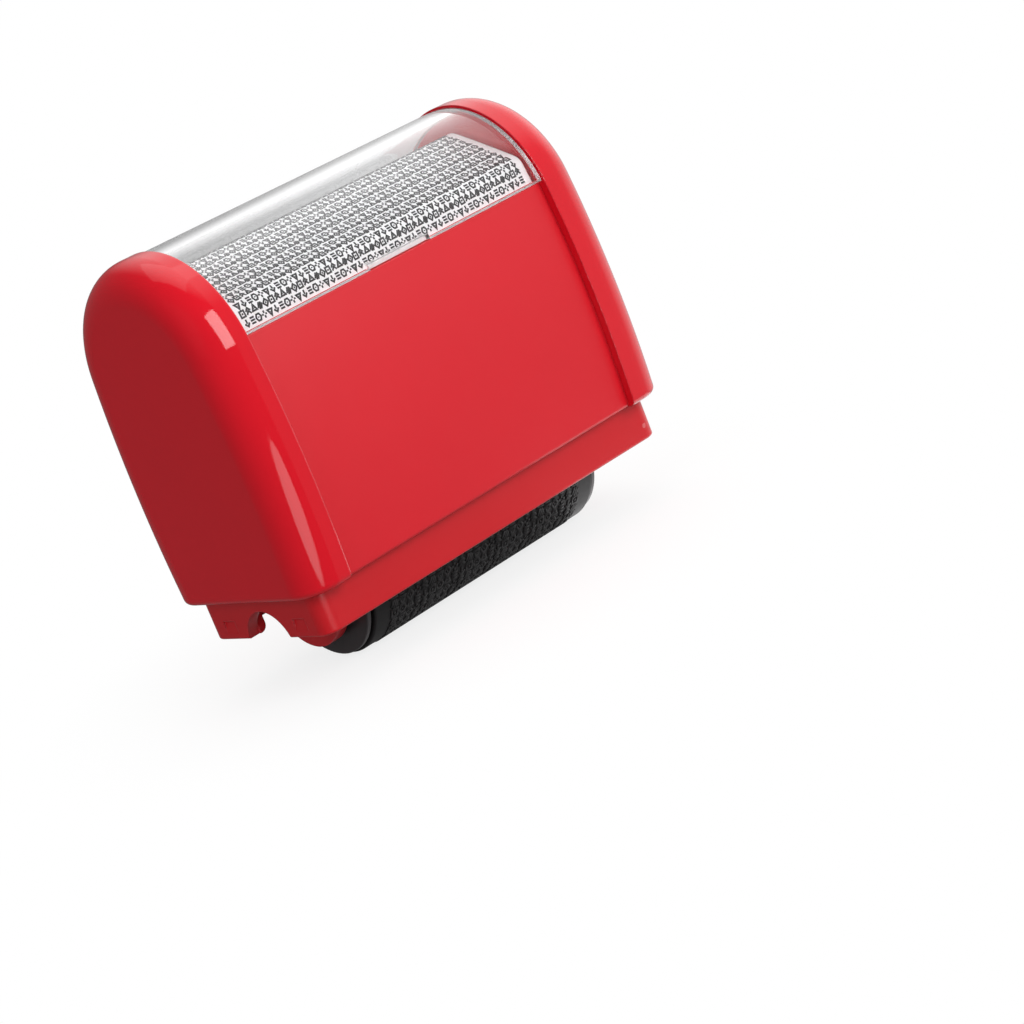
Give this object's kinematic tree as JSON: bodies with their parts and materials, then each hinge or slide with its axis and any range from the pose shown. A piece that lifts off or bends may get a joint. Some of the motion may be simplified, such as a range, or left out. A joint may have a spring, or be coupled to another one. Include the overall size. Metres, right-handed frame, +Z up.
{
  "type": "privacy roller stamp",
  "caption": "Hand-held privacy roller stamp: an arched shell with a lift-off clear lid over its label, and a self-inking rubber roller in a pull-out carriage.",
  "frame": {"origin": "under the middle of the stamp roller, on the surface that the stamp stands on", "axes": "+X along the roller axes towards the right end cap, +Y from the front to the back, +Z up towards the lid"},
  "size_m": [0.0706, 0.0352, 0.0629],
  "materials": {
    "red_shell": "moulded satin to gloss",
    "red_frame": "moulded satin",
    "clear_window": "clear, polished",
    "label_paper": "printed card",
    "black_plastic": "satin",
    "stamp_rubber": "inked rubber",
    "bearing_plastic": "moulded natural acetal",
    "steel_pin": "ground",
    "ink_foam": "ink-soaked open foam"
  },
  "bodies": {
    "housing": {"right_end_cap": "red_shell", "left_end_cap": "red_shell", "front_panel": "red_shell", "back_panel": "red_shell", "base_frame": "red_frame"},
    "lid": {"window_cover": "clear_window", "label_card": "label_paper", "label_bed": "red_frame"},
    "carriage": {"right_cheek": "red_frame", "left_cheek": "red_frame", "back_tie_bar": "red_frame", "front_tie_bar": "red_frame", "stamp_axle": "steel_pin"},
    "stamp_roller": {"roller_core": "black_plastic", "stamp_sleeve": "stamp_rubber", "right_flange": "black_plastic", "left_flange": "black_plastic", "right_bush": "bearing_plastic", "left_bush": "bearing_plastic"},
    "ink_roller": {"ink_axle": "steel_pin", "ink_core": "bearing_plastic", "ink_foam": "ink_foam", "right_ink_cap": "bearing_plastic", "left_ink_cap": "bearing_plastic"}
  },
  "joints": [
    {"name": "lid_lift", "type": "slide", "parent": "housing", "child": "lid", "axis": [0, 0, 1], "range_m": [0, 0.03]},
    {"name": "carriage_slide", "type": "slide", "parent": "housing", "child": "carriage", "axis": [0, 0, -1], "range_m": [0, 0.045]},
    {"name": "stamp_spin", "type": "hinge", "parent": "carriage", "child": "stamp_roller", "pos_m": [0, 0, 0.01037], "axis": [1, 0, 0], "continuous": true},
    {"name": "ink_spin", "type": "hinge", "parent": "carriage", "child": "ink_roller", "pos_m": [0, 0, 0.02749], "axis": [1, 0, 0], "continuous": true}
  ],
  "couplings": [
    {"joint": "ink_spin", "follows": "stamp_spin", "ratio": -1.5954}
  ]
}
